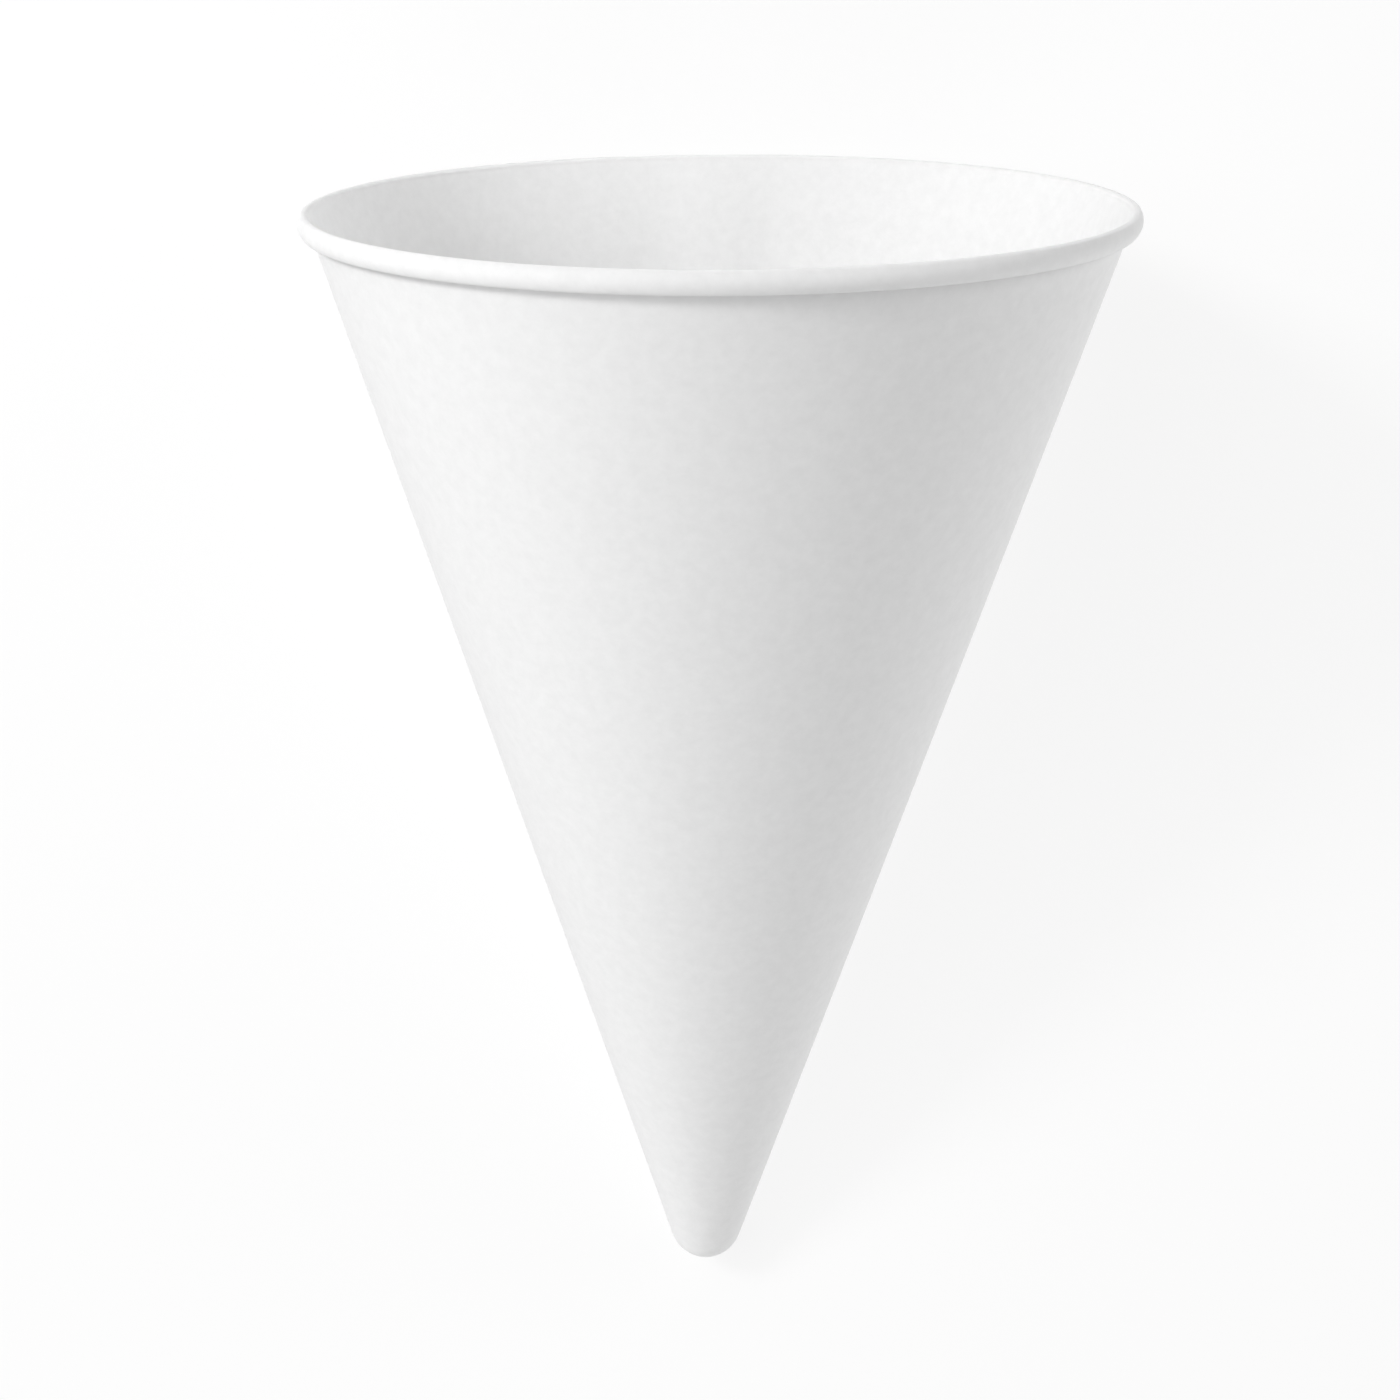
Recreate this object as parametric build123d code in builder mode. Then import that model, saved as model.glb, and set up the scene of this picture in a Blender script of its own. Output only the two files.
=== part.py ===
from build123d import *
from collections import namedtuple
from math import acos, asin, atan2, ceil, cos, degrees, hypot, radians, sin
import os

# A cone paper cup, lying on its side as an empty one comes to rest. One sheet of white
# paper is rolled into a cone and glued along a lap, its point is pressed round, and its
# mouth edge is curled outwards. The floor is at zero, the mouth opens towards +Y, and
# the lap is underneath: its stiff double sheet leaves the mouth a little flat there, and
# the cup rests on that. Lengths are in millimetres and angles in degrees.

# Overall sizes
rim_diameter = 73.66
cup_height = 107.95
tip_radius = 3.69
paper = 0.2

# Curled rim: the radius inside each bend, and the heading of the sheet where each ends,
# turned outwards from the wall's own direction. A bend is drawn in short straight runs
# that stray from its round by run_gap at most, which keeps the ring to few faces.
neck_bend = 1.2
crown_bend = 0.2
side_bend = 1.15
pinch_heading = -12
crown_heading = 130
side_heading = 203
tuck_heading = 360
curl_clearance = 0.1
tucked_edge = 0.35
run_gap = 0.025

# Glued lap: its width at the mouth, how far its upper layer is pressed clear of the one
# below, and how its foot fades into the pressed tip
lap_width = 10
ease_width = 7
pressed_share = 0.75
lap_foot = 4
lap_feather = 4
lap_root = 0.5
inset_share = 0.25
glue_share = 0.5
crown_top = 90
lap_spans = 2
ease_spans = 2
cut_overrun = 1

rim_radius = rim_diameter / 2
tip_centre = tip_radius - cup_height
under = 90

# Places on a section through the axis. (along, out) is measured from the neck of the
# rim: along runs up the wall, and out runs from the smooth inner face towards the
# outside. (radius, height) is measured from the middle of the mouth.

Bend = namedtuple("Bend", "along out radius turn start end")


def right_of(heading):
    """The direction to the right of a heading, as (along, out)."""
    return -sin(radians(heading)), cos(radians(heading))


def bend_point(bend, heading, depth=0.0):
    """The point of a bend at a heading, depth under the sheet's smooth face."""
    across, outward = right_of(heading)
    reach = depth - bend.turn * bend.radius
    return bend.along + reach * across, bend.out + reach * outward


def bend_from(start, radius, turn, heading, end):
    """The bend that carries the smooth face on from a point; turn is 1 outwards, -1 inwards."""
    across, outward = right_of(heading)
    along = start[0] + turn * radius * across
    out = start[1] + turn * radius * outward
    return Bend(along, out, radius, turn, heading, end)


def curl_bends():
    """The four bends of the rim: the last one brings the edge back beside the wall."""
    neck = bend_from((0, 0), neck_bend - paper, -1, 0, pinch_heading)
    pinch = bend_point(neck, pinch_heading)
    crown = bend_from(pinch, crown_bend + paper, 1, pinch_heading, crown_heading)
    shoulder = bend_point(crown, crown_heading)
    side = bend_from(shoulder, side_bend + paper, 1, crown_heading, side_heading)
    heel = bend_point(side, side_heading)
    run_back = heel[1] - paper - curl_clearance
    tuck_radius = run_back / (1 - cos(radians(side_heading)))
    tuck = bend_from(heel, tuck_radius, 1, side_heading, tuck_heading)
    return neck, crown, side, tuck


neck, crown, side, tuck = curl_bends()


def wall_slope():
    """The wall's angle from the axis, so that it meets both the curl and the round tip.

    The curl leans with the wall, so the angle is found in a few rounds.
    """
    reach = rim_radius - side.radius
    depth = -tip_centre - crown.radius
    slope = atan2(reach, depth)
    for _ in range(12):
        lean_in = (side.along - crown.along) * sin(slope) * cos(slope)
        lean_in += side.out * cos(slope) ** 2 + crown.out * sin(slope) ** 2
        gap = tip_radius - paper + lean_in
        slope = atan2(reach, depth) - asin(gap / hypot(reach, depth))
    return slope


slope = wall_slope()
neck_radius = rim_radius - side.radius - side.along * sin(slope) - side.out * cos(slope)
neck_height = crown.out * sin(slope) - crown.along * cos(slope) - crown.radius
wall_length = (neck_radius - (tip_radius - paper) * cos(slope)) / sin(slope)


def on_section(along, out, inset=0.0):
    """A place on the wall or the rim as (radius, height), moved in to the axis by inset."""
    radius = neck_radius + along * sin(slope) + out * cos(slope) - inset
    height = neck_height + along * cos(slope) - out * sin(slope)
    return radius, height


def rim_face(depth, inset=0.0, last=tuck_heading):
    """Places along a face of the curled sheet, depth under its smooth face, up to a heading."""
    places = [on_section(0, depth, inset)]
    for bend in (neck, crown, side, tuck):
        run_turn = degrees(2 * acos(1 - run_gap / bend.radius))
        runs = ceil(abs(bend.end - bend.start) / run_turn)
        for run in range(1, runs + 1):
            heading = bend.start + (bend.end - bend.start) * run / runs
            if heading <= last:
                along, out = bend_point(bend, heading, depth)
                places.append(on_section(along, out, inset))
    return places


def rim_section(rise=0.0, inset=0.0):
    """The whole curl, up its smooth face, round the tucked cut edge and back down.

    A sheet that has risen lies deeper in the curl by that much.
    """
    along, out = bend_point(tuck, tuck_heading, rise)
    edge_in = on_section(along + tucked_edge, out, inset)
    edge_out = on_section(along + tucked_edge, out + paper, inset)
    smooth = rim_face(rise, inset)
    hidden = rim_face(rise + paper, inset)
    return [*smooth, edge_in, edge_out, *reversed(hidden)]


# The lap's foot and its full thickness, along the wall, and its angles about the axis

foot = lap_foot - wall_length
root = foot - lap_root
full = foot + lap_feather
lap_rise = paper * pressed_share
lap_angle = degrees(lap_width / neck_radius)
ease_angle = degrees(ease_width / neck_radius)
lap_edge = under - lap_angle / 2
lap_end = under + lap_angle / 2


def flat_inset(azimuth):
    """How far inside its round the mouth lies across the lap, where it is flat."""
    return rim_radius * (1 - cos(radians(lap_angle / 2)) / cos(radians(azimuth - under)))


# At rest the curl touches the floor at the lap's edges, and the lap touches it where it
# gets its full thickness. That sets the lean, and the middle of the mouth.

flat_share = cos(radians(lap_angle / 2))
heel_radius, heel_height = on_section(full, lap_rise + paper)
rim_round = [(radius * flat_share, height) for radius, height in rim_face(0)]
lean = max(atan2(radius - heel_radius, height - heel_height) for radius, height in rim_round)
mouth_height = heel_radius * cos(lean) - heel_height * sin(lean)
front = max(radius * sin(lean) + height * cos(lean) for radius, height in rim_round)
back = tip_centre * cos(lean) - tip_radius
mouth_place = -(front + back) / 2

mouth = Plane(
    origin=(0, mouth_place, mouth_height),
    x_dir=(1, 0, 0),
    z_dir=(0, cos(lean), sin(lean)),
)
cup_axis = Axis(mouth.origin, mouth.z_dir)


def section_plane(azimuth):
    """The half plane through the axis at an azimuth; 90 is straight below the cup."""
    out = mouth.x_dir * cos(radians(azimuth)) + mouth.y_dir * sin(radians(azimuth))
    return Plane(origin=mouth.origin, x_dir=out, z_dir=out.cross(mouth.z_dir))


def draw_tip(radius):
    """The round of the tip, from the axis to the wall."""
    half = radians(45) - slope / 2
    bottom = (0, tip_centre - radius)
    middle = (radius * sin(half), tip_centre - radius * cos(half))
    top = (radius * cos(slope), tip_centre - radius * sin(slope))
    ThreePointArc(bottom, middle, top)
    return bottom, top


with BuildPart() as cone_cup:
    # The sheet all round: the tip, the wall and the curled rim
    with BuildSketch(section_plane(0)):
        with BuildLine():
            bottom_in, top_in = draw_tip(tip_radius - paper)
            bottom_out, top_out = draw_tip(tip_radius)
            Line(bottom_in, bottom_out)
            Polyline(top_in, *rim_section(), top_out)
        make_face()
    revolve(axis=cup_axis)

    # It makes way for the lap, and for the end of it that comes down beside the lap
    beyond = crown.along + crown.radius + cut_overrun
    outside = side.out + side.radius + cut_overrun
    with BuildSketch(section_plane(lap_edge)):
        with BuildLine():
            Polyline(
                on_section(foot, -cut_overrun),
                on_section(beyond, -cut_overrun),
                on_section(beyond, outside),
                on_section(foot, outside),
                close=True,
            )
        make_face()
    revolve(axis=cup_axis, revolution_arc=lap_angle + ease_angle, mode=Mode.SUBTRACT)

    # The lap: the sheet's first layer, flat across it at the mouth and round at its foot
    for step in range(lap_spans + 1):
        azimuth = lap_edge + lap_angle * step / lap_spans
        with BuildSketch(section_plane(azimuth)):
            with BuildLine():
                Polyline(
                    on_section(full, 0),
                    *rim_section(inset=flat_inset(azimuth)),
                    on_section(full, paper),
                    close=True,
                )
            make_face()
    loft(ruled=True)

    # The other end of the sheet over it, which goes up into the curl and runs out there
    glued = paper * glue_share
    for step in range(lap_spans + 1):
        azimuth = lap_edge + lap_angle * step / lap_spans
        inset = flat_inset(azimuth)
        with BuildSketch(section_plane(azimuth)):
            with BuildLine():
                Polyline(
                    on_section(full, lap_rise + paper),
                    *rim_face(lap_rise + paper, inset, crown_top),
                    *reversed(rim_face(glued, inset, crown_top)),
                    on_section(full, glued),
                    close=True,
                )
            make_face()
    loft(ruled=True)

    # Beside the lap that end lies further out, and eases back to the cone
    for step in range(ease_spans + 1):
        share = step / ease_spans
        rise = lap_rise * (1 - share)
        with BuildSketch(section_plane(lap_end + ease_angle * share)):
            with BuildLine():
                Polyline(
                    on_section(full, rise),
                    *rim_section(rise),
                    on_section(full, rise + paper),
                    close=True,
                )
            make_face()
    loft(ruled=True)

    # Their foot fades into the middle of the sheet at the pressed tip
    for step in range(lap_spans + 1):
        with BuildSketch(section_plane(lap_edge + lap_angle * step / lap_spans)):
            with BuildLine():
                Polyline(
                    on_section(full, 0),
                    on_section(root, paper * inset_share),
                    on_section(root, paper * (1 - inset_share)),
                    on_section(full, lap_rise + paper),
                    close=True,
                )
            make_face()
    loft(ruled=True)
    for step in range(ease_spans + 1):
        share = step / ease_spans
        rise = lap_rise * (1 - share)
        with BuildSketch(section_plane(lap_end + ease_angle * share)):
            with BuildLine():
                Polyline(
                    on_section(full, rise),
                    on_section(root, paper * inset_share),
                    on_section(root, paper * (1 - inset_share)),
                    on_section(full, rise + paper),
                    close=True,
                )
            make_face()
    loft(ruled=True)

cone_cup.part.label = "cone_cup"

os.makedirs("parts", exist_ok=True)
export_step(cone_cup.part, "parts/cone_cup.step")
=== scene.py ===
"""The look of a cone paper cup that lies on its side, seen from the mouth's side and from above.

The cup's sheet is worked out again here as one smooth surface: its section, with the round tip, the
straight wall and the curled rim, is carried round the cup's axis, and the glued lap is a change of
depth on the way. Lengths are in metres and headings in degrees.
"""
from collections import namedtuple
from math import asin, atan2, cos, degrees, hypot, radians, sin, tan

import bpy
import numpy as np
from mathutils import Matrix, Vector


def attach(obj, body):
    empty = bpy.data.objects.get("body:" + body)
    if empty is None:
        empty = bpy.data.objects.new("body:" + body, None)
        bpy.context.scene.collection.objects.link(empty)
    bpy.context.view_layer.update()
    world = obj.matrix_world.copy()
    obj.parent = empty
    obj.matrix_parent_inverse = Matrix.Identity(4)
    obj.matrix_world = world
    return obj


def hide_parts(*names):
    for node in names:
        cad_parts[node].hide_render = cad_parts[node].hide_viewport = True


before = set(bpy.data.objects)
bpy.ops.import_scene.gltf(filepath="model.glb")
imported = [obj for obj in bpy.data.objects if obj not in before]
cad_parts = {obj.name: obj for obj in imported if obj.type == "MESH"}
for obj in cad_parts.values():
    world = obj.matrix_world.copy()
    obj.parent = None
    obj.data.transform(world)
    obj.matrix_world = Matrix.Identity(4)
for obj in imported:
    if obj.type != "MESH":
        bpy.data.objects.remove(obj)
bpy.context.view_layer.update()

MM = 0.001

# Overall sizes of the cup; its mouth is a little out of square, and higher on the right
rim_diameter = 73.66 * MM
cup_height = 107.95 * MM
tip_radius = 3.69 * MM
paper = 0.2 * MM
mouth_skew = radians(0.95)

# Curled rim: the radius inside each bend, and the sheet's heading where each ends
neck_bend = 1.2 * MM
crown_bend = 0.2 * MM
side_bend = 1.15 * MM
pinch_heading = -12
crown_heading = 130
side_heading = 203
tuck_heading = 360
curl_clearance = 0.1 * MM
tucked_edge = 0.35 * MM

# Glued lap, underneath the lying cup: its widths, how much deeper its outer face lies, its foot,
# the headings between which it runs out in the crown, and how soft its edges are
under = 90
lap_width = 10 * MM
ease_width = 7 * MM
lap_rise = 0.15 * MM
lap_foot = 4 * MM
lap_feather = 4 * MM
lap_top_heading = 90
lap_end_heading = 120
cut_round = 0.03 * MM
seam_soft = 4 * MM
flat_soft = 0.05 * MM

# The flat of the mouth is looked for this far from the middle of the lap, and its chord is
# worked out no further than the limit, where it is well outside the round
flat_reach = 30
flat_limit = 40

# How finely the surface is divided: points on each stretch of the section, and round the axis
tip_points = 14
wall_points = 40
neck_points = 6
crown_points = 20
side_points = 10
tuck_points = 14
columns = 360
seam_points = 8

# Edges that turn more than this are shaded as sharp
crease_angle = 50

rim_radius = rim_diameter / 2
tip_centre = tip_radius - cup_height

# Places on the section are (along, out) from the neck of the rim: along runs up the wall, and
# out runs from the smooth inner face towards the outside

Bend = namedtuple("Bend", "along out radius turn start end")


def right_of(heading):
    """The direction to the right of a heading, as (along, out): (-sin, cos)."""
    return -sin(radians(heading)), cos(radians(heading))


def bend_from(start, radius, turn, heading, end):
    """The bend that carries the sheet on from a point; turn is 1 outwards and -1 inwards.

    Its centre lies at the point plus turn * radius * (the heading's right hand).
    """
    across, outward = right_of(heading)
    along = start[0] + turn * radius * across
    out = start[1] + turn * radius * outward
    return Bend(along, out, radius, turn, heading, end)


def bend_end(bend):
    """The smooth face's place where a bend ends: centre - turn * radius * (the right hand there)."""
    across, outward = right_of(bend.end)
    return bend.along - bend.turn * bend.radius * across, bend.out - bend.turn * bend.radius * outward


def curl_bends():
    """The four bends of the rim: the last one brings the edge back beside the wall."""
    neck = bend_from((0, 0), neck_bend - paper, -1, 0, pinch_heading)
    crown = bend_from(bend_end(neck), crown_bend + paper, 1, pinch_heading, crown_heading)
    side = bend_from(bend_end(crown), side_bend + paper, 1, crown_heading, side_heading)
    heel = bend_end(side)
    tuck_radius = (heel[1] - paper - curl_clearance) / (1 - cos(radians(side_heading)))
    tuck = bend_from(heel, tuck_radius, 1, side_heading, tuck_heading)
    return neck, crown, side, tuck


neck, crown, side, tuck = curl_bends()


def wall_slope():
    """The wall's angle from the axis, so that it meets both the curl and the round tip.

    The curl leans with the wall, so the angle is found in a few rounds.
    """
    rounds = 12
    reach = rim_radius - side.radius
    depth = -tip_centre - crown.radius
    slope = atan2(reach, depth)
    for _ in range(rounds):
        lean_in = (side.along - crown.along) * sin(slope) * cos(slope)
        lean_in += side.out * cos(slope) ** 2 + crown.out * sin(slope) ** 2
        gap = tip_radius - paper + lean_in
        slope = atan2(reach, depth) - asin(gap / hypot(reach, depth))
    return slope


slope = wall_slope()
neck_radius = rim_radius - side.radius - side.along * sin(slope) - side.out * cos(slope)
neck_height = crown.out * sin(slope) - crown.along * cos(slope) - crown.radius
wall_length = (neck_radius - (tip_radius - paper) * cos(slope)) / sin(slope)


def on_section(along, out):
    """A place on the wall or the rim as (radius, height) from the middle of the mouth."""
    radius = neck_radius + along * sin(slope) + out * cos(slope)
    height = neck_height + along * cos(slope) - out * sin(slope)
    return radius, height


def bend_stretch(bend, points):
    """(along, out, heading) down a bend: centre - turn * radius * (the heading's right hand)."""
    heading = np.linspace(bend.start, bend.end, points + 1)[1:]
    angle = np.radians(heading)
    along = bend.along + bend.turn * bend.radius * np.sin(angle)
    out = bend.out - bend.turn * bend.radius * np.cos(angle)
    return np.stack([along, out, heading])


def sheet_line():
    """The smooth face's line from the axis at the tip to the tucked edge, as (along, out, heading).

    The tip is an arc of radius tip_radius - paper about the axis, the wall a straight line, and
    the rim the four bends with a short straight end.
    """
    inner = tip_radius - paper
    heading = np.linspace(90 - degrees(slope), 0, tip_points)
    angle = np.radians(heading)
    tip = np.stack([-wall_length - inner * np.sin(angle), inner * (np.cos(angle) - 1), heading])
    along = np.linspace(-wall_length, 0, wall_points + 1)[1:]
    wall = np.stack([along, 0 * along, 0 * along])
    bends = [bend_stretch(bend, points) for bend, points in (
        (neck, neck_points), (crown, crown_points), (side, side_points), (tuck, tuck_points))]
    last = bends[-1][:, -1:]
    edge = last + np.array([[tucked_edge], [0], [0]])
    return np.hstack([tip, wall, *bends, edge])


line = sheet_line()

# The lap's place about the axis, in degrees, and along the wall

lap_angle = degrees(lap_width / neck_radius)
ease_angle = degrees(ease_width / neck_radius)
seam_angle = degrees(seam_soft / neck_radius)
cut_angle = degrees(cut_round / neck_radius)
lap_edge = under - lap_angle / 2
lap_end = under + lap_angle / 2
full = lap_foot + lap_feather - wall_length

# The cup rests on the curl at the lap's edges and on the lap where it gets its full thickness,
# its heel. The lean is the greatest angle from the heel to a place on the rim, and the cup lies
# with the middle of its length over the origin

flat_share = cos(radians(lap_angle / 2))
heel_radius, heel_height = on_section(full, lap_rise + paper)
rim_part = line[:, tip_points + wall_points:]
rim_round, rim_up = on_section(rim_part[0], rim_part[1])
lean = np.arctan2(rim_round * flat_share - heel_radius, rim_up - heel_height).max()
mouth_height = heel_radius * cos(lean) - heel_height * sin(lean)
front = (rim_round * flat_share * sin(lean) + rim_up * cos(lean)).max()
back = tip_centre * cos(lean) - tip_radius
mouth_centre = np.array([0, -(front + back) / 2, mouth_height])

# The directions of the lying cup: right of it, up its axis to the mouth, and towards the viewer
right = np.array([1, 0, 0])
upward = np.array([0, cos(lean), sin(lean)])
towards = np.array([0, -sin(lean), cos(lean)])


def smooth_step(value):
    """0 to 1 with level ends: 3 v^2 - 2 v^3, for v cut to 0 and 1."""
    value = np.clip(value, 0, 1)
    return value * value * (3 - 2 * value)


def turn_points():
    """Azimuths round the cup, with a close pair at each cut edge of the lap and more at its seam."""
    even = np.linspace(0, 360, columns, endpoint=False)
    seam = lap_end + seam_angle * np.linspace(0, 1, seam_points + 1)[1:]
    edges = np.array([lap_edge, lap_edge + cut_angle, lap_end, lap_end + cut_angle, *seam])
    spaced = even[np.min(np.abs(even[:, None] - edges), axis=1) > 2 * cut_angle]
    return np.sort(np.concatenate([spaced, edges]))


def flat_inset(azimuth):
    """How far inside its round the mouth lies across the lap.

    The chord from lap edge to lap edge lies R (1 - cos(half) / cos(a)) inside the round, at a
    from the lap's middle. Its ends run softly into the round: (c + sqrt(c^2 + soft^2)) / 2.
    """
    off_middle = azimuth - under
    angle = np.radians(np.clip(off_middle, -flat_limit, flat_limit))
    chord = rim_radius * (1 - flat_share / np.cos(angle))
    soft = (chord + np.sqrt(chord ** 2 + flat_soft ** 2)) / 2
    return soft * (np.abs(off_middle) < flat_reach)


def sheet_depths(azimuth, along, heading):
    """How deep both faces of the sheet lie under the cone's smooth inner face.

    Across the lap the outer face lies lap_rise deeper, up to the crown's top. Beside the lap
    both faces do, and come back with a smooth step. The lap fades in above its foot. The inner
    cut edge is pressed smooth over seam_soft.
    """
    fade = smooth_step((along - full + lap_feather) / lap_feather)
    runs_out = 1 - smooth_step((heading - lap_top_heading) / (lap_end_heading - lap_top_heading))
    on_lap = (azimuth > lap_edge + cut_angle / 2) & (azimuth < lap_end + cut_angle / 2)
    beside = (azimuth >= lap_end + cut_angle / 2) & (azimuth < lap_end + ease_angle)
    eased = 1 - smooth_step((azimuth - lap_end) / ease_angle)
    pressed = smooth_step((azimuth - lap_end) / seam_angle)
    smooth_face = lap_rise * fade * eased * beside * pressed
    outer_face = paper + lap_rise * fade * (eased * beside + runs_out * on_lap)
    return smooth_face, outer_face


def cup_points():
    """The whole surface: azimuth down the rows, and the section along them.

    A row goes from the axis inside the tip up the smooth face, round the curl and its cut edge,
    and back down the outer face. Each place is its (radius, height) turned about the axis. The
    height grows by tan(skew) times the way right of the axis, in full at the mouth and none at
    the tip.
    """
    azimuth = turn_points()[:, None]
    along, out, heading = line[:, None, :]
    angle = np.radians(heading)
    up_share = np.clip((along - full) / -full, 0, 1)
    skewed = tan(mouth_skew) * np.hstack([up_share, up_share[:, ::-1]])
    faces = []
    for depth in sheet_depths(azimuth, along, heading):
        radius, height = on_section(along - depth * np.sin(angle), out + depth * np.cos(angle))
        faces.append(np.stack([radius - flat_inset(azimuth) * up_share, height]))
    radius, height = np.concatenate([faces[0], faces[1][:, :, ::-1]], axis=2)
    radius[:, [0, -1]] = 0
    turn = np.radians(azimuth)
    height = height + skewed * radius * np.cos(turn)
    turn = turn[:, :, None]
    around = np.cos(turn) * right - np.sin(turn) * towards
    return mouth_centre + radius[:, :, None] * around + height[:, :, None] * upward


def linked(name, data):
    """An object at the origin, in the scene, with a mesh, lamp or camera as its data."""
    piece = bpy.data.objects.new(name, data)
    bpy.context.scene.collection.objects.link(piece)
    return piece


def closed_surface(name, points):
    """A mesh from rows that close round an axis, whose first and last columns are each one point.

    Each square joins a row to the next, and a fan of triangles closes the surface at both ends.
    """
    rows, across = points.shape[:2]
    body = points[:, 1:-1].reshape(-1, 3)
    vertices = np.vstack([body, points[0, 0], points[0, -1]])
    inner = across - 2
    here = np.arange(rows)[:, None] * inner + np.arange(inner)
    there = np.roll(here, -1, axis=0)
    quads = np.stack([here[:, :-1], here[:, 1:], there[:, 1:], there[:, :-1]], axis=-1).reshape(-1, 4)
    first = np.stack([np.full(rows, rows * inner), here[:, 0], there[:, 0]], axis=-1)
    last = np.stack([here[:, -1], np.full(rows, rows * inner + 1), there[:, -1]], axis=-1)
    mesh = bpy.data.meshes.new(name)
    mesh.from_pydata(vertices.tolist(), [], [*quads.tolist(), *first.tolist(), *last.tolist()])
    mesh.shade_smooth()
    mesh.set_sharp_from_angle(angle=radians(crease_angle))
    return linked(name, mesh)


def level_square(name, half):
    """A square at height zero about the origin, half its side long each way."""
    corners = [(-half, -half, 0), (half, -half, 0), (half, half, 0), (-half, half, 0)]
    mesh = bpy.data.meshes.new(name)
    mesh.from_pydata(corners, [], [(0, 1, 2, 3)])
    return linked(name, mesh)


# The paper's finish. Each pattern is its scale in turns per metre, its detail and its roughness.
# The clouds go from the dark tone to the light one between two values of their pattern

cloud_pattern = (850, 4, 0.65)
cloud_range = (0.3, 0.7)
cloud_tones = (0.78, 0.82)
tooth_pattern = (1600, 3, 0.6)
tooth_strength = 0.7
tooth_depth = 0.02 * MM
paper_roughness = 0.75
paper_specular = 0.3

# The floor, and how brightly it and the room behind it shine
floor_half = 0.45
floor_tone = 0.15
floor_glow = 0.826
room_brightness = 0.98


def grey(tone):
    """A grey as Blender's four numbers."""
    return tone, tone, tone, 1


def new_material(name):
    """A material with nodes, and its shader."""
    material = bpy.data.materials.new(name)
    material.use_nodes = True
    return material, material.node_tree.nodes["Principled BSDF"]


def link(tree, source, output, target, socket):
    """Joins one node's output to another's input."""
    tree.links.new(source.outputs[output], target.inputs[socket])


def noise(tree, coordinates, pattern):
    """A noise pattern on Object coordinates, from its scale, detail and roughness."""
    scale, detail, roughness = pattern
    node = tree.nodes.new("ShaderNodeTexNoise")
    node.inputs["Scale"].default_value = scale
    node.inputs["Detail"].default_value = detail
    node.inputs["Roughness"].default_value = roughness
    link(tree, coordinates, "Object", node, "Vector")
    return node


def cup_paper():
    """White cup paper: faint clouds of fibre in its colour, and a fine tooth in its surface."""
    material, shader = new_material("cup_paper")
    tree = material.node_tree
    coordinates = tree.nodes.new("ShaderNodeTexCoord")
    clouds = noise(tree, coordinates, cloud_pattern)
    tint = tree.nodes.new("ShaderNodeValToRGB")
    for stop, position, tone in zip(tint.color_ramp.elements, cloud_range, cloud_tones):
        stop.position = position
        stop.color = grey(tone)
    link(tree, clouds, "Fac", tint, "Fac")
    link(tree, tint, "Color", shader, "Base Color")
    tooth = noise(tree, coordinates, tooth_pattern)
    bump = tree.nodes.new("ShaderNodeBump")
    bump.inputs["Strength"].default_value = tooth_strength
    bump.inputs["Distance"].default_value = tooth_depth
    link(tree, tooth, "Fac", bump, "Height")
    link(tree, bump, "Normal", shader, "Normal")
    shader.inputs["Roughness"].default_value = paper_roughness
    shader.inputs["Specular IOR Level"].default_value = paper_specular
    return material


def pale_floor():
    """The pale floor, quite dull, and lit from within as a light table is."""
    material, shader = new_material("pale_floor")
    shader.inputs["Base Color"].default_value = grey(floor_tone)
    shader.inputs["Roughness"].default_value = 1
    shader.inputs["Specular IOR Level"].default_value = 0
    shader.inputs["Emission Color"].default_value = grey(1)
    shader.inputs["Emission Strength"].default_value = floor_glow
    return material


# The camera, from the fit of the photograph's outline: distances from the cup's axis and above
# the mouth's plane, and the turns of its view

image_width = 1400
focal_pixels = 2276
sensor_width = 36
nearest_seen = 10 * MM
camera_distance = 203.7 * MM
camera_rise = 27.4 * MM
camera_pitch = radians(20)
camera_yaw = radians(-0.35)
camera_roll = radians(0.67)


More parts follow.
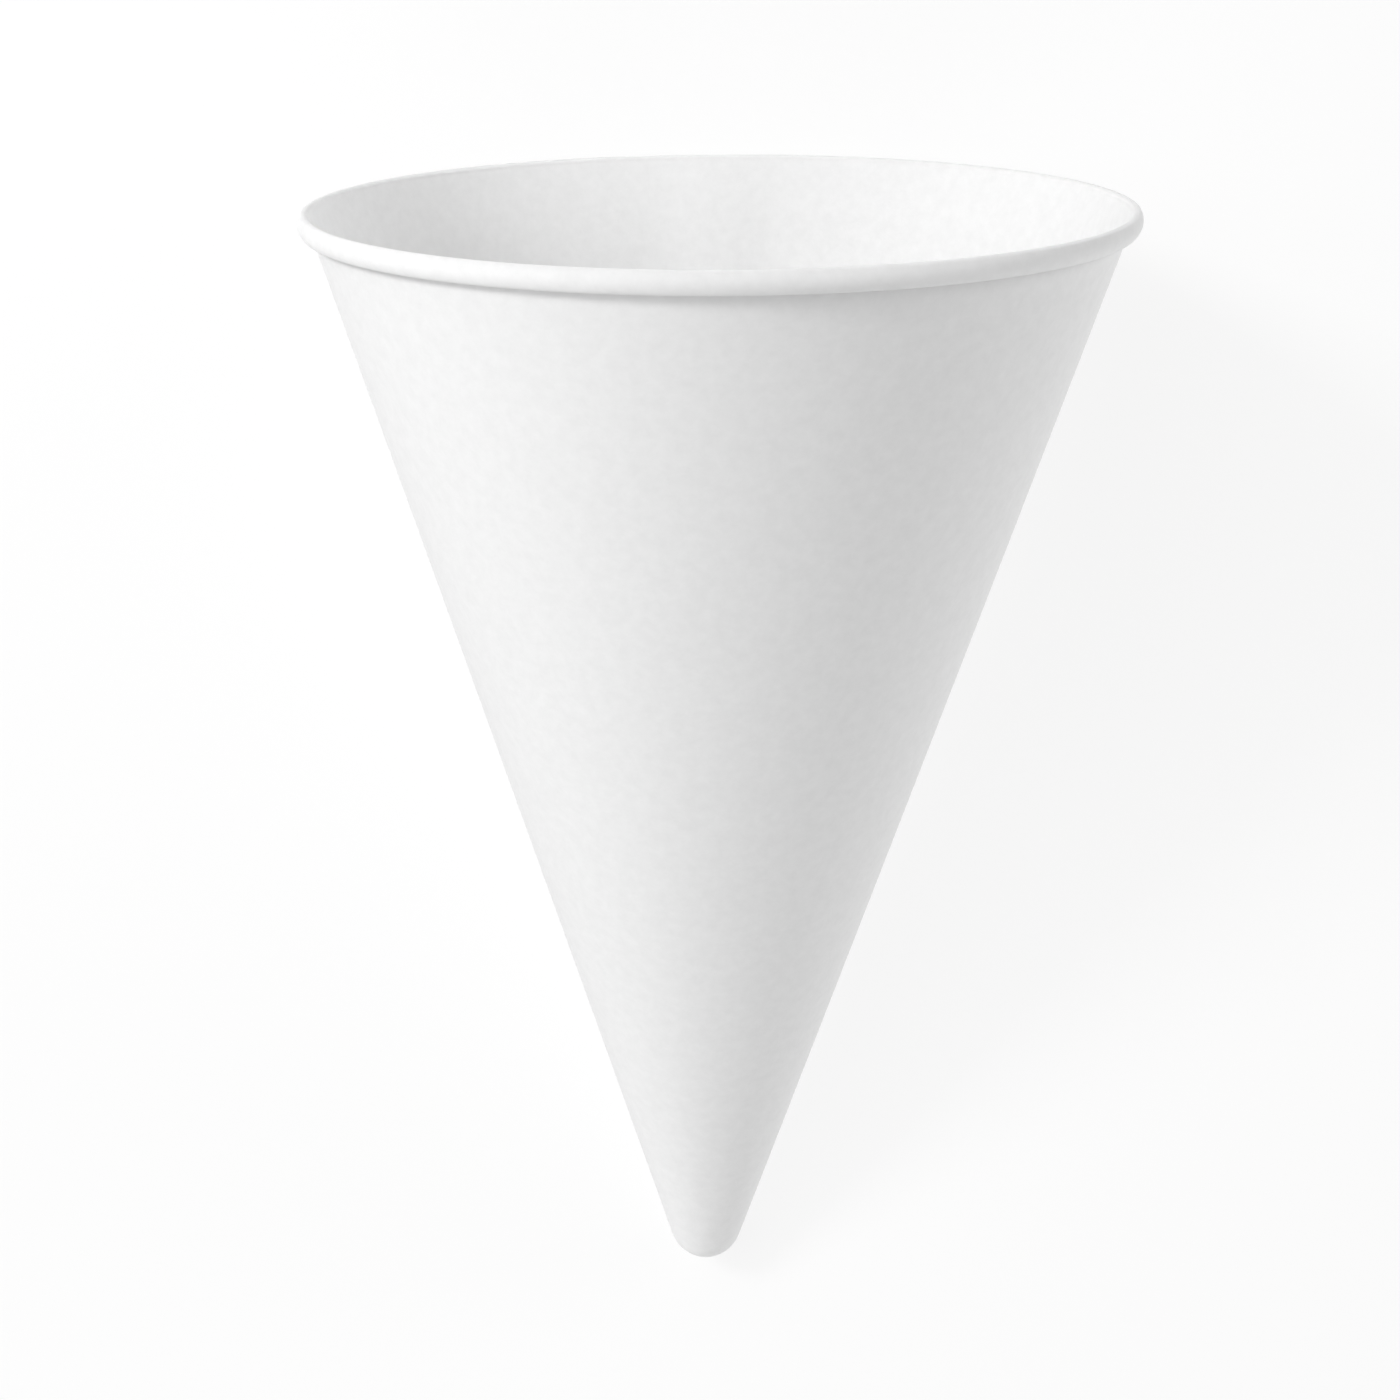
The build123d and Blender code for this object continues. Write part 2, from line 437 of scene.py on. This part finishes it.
def photo_camera():
    """A camera over the lying cup, which sees it as the photograph does.

    It looks back along the way towards the viewer, turned by its yaw about the cup's axis and
    pitched down into the mouth, and then rolls about that view.
    """
    data = bpy.data.cameras.new("photo_view")
    data.sensor_width = sensor_width
    data.lens = focal_pixels / image_width * sensor_width
    data.clip_start = nearest_seen
    ahead = sin(camera_yaw) * cos(camera_pitch) * right
    ahead = ahead - cos(camera_yaw) * cos(camera_pitch) * towards - sin(camera_pitch) * upward
    side_on = cos(camera_yaw) * right + sin(camera_yaw) * towards
    above = np.cross(side_on, ahead)
    across = cos(camera_roll) * side_on + sin(camera_roll) * above
    above = np.cross(across, ahead)
    place = mouth_centre + camera_distance * towards + camera_rise * upward
    turn = Matrix(np.array([across, above, -ahead]).T.tolist()).to_4x4()
    camera = linked("photo_view", data)
    camera.matrix_world = Matrix.Translation(Vector(place)) @ turn
    bpy.context.scene.camera = camera


# The lamps: where each one is, how wide it is and its power in watts. Its place is given in the
# picture, as (right, up, towards the viewer)

Lamp = namedtuple("Lamp", "name place size power")
lamps = (
    Lamp("left_light", (-0.31, 0.1, 0.56), 0.45, 1.65),
    Lamp("near_light", (-0.35, 0.2, 0.4), 0.12, 1.37),
    Lamp("mouth_light", (-0.25, 0.4, 0.4), 0.45, 0.85),
    Lamp("right_light", (0.65, 0.25, 0.1), 0.45, 3.33),
    Lamp("tip_light", (0.0, -0.6, 0.3), 0.45, 2.3),
)
lamp_target = (0, 0, 0.02)


def soft_lamp(lamp):
    """A square soft lamp that faces the cup."""
    data = bpy.data.lights.new(lamp.name, "AREA")
    data.size = lamp.size
    data.energy = lamp.power
    piece = linked(lamp.name, data)
    facing = Vector(lamp_target) - Vector(lamp.place)
    piece.location = Vector(lamp.place)
    piece.rotation_euler = facing.to_track_quat("-Z", "Y").to_euler()


def pale_room():
    """A pale room, which is seen behind the floor but doesn't light the cup."""
    world = bpy.data.worlds.new("pale_room")
    world.use_nodes = True
    background = world.node_tree.nodes["Background"]
    background.inputs["Color"].default_value = grey(1)
    background.inputs["Strength"].default_value = room_brightness
    world.cycles_visibility.diffuse = False
    world.cycles_visibility.glossy = False
    bpy.context.scene.world = world
    bpy.context.scene.view_settings.view_transform = "Standard"


cup = closed_surface("paper_cup", cup_points())
cup.data.materials.append(cup_paper())
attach(cup, "root")
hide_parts("cone_cup")

floor = level_square("floor", floor_half)
floor.data.materials.append(pale_floor())

photo_camera()
for lamp in lamps:
    soft_lamp(lamp)
pale_room()
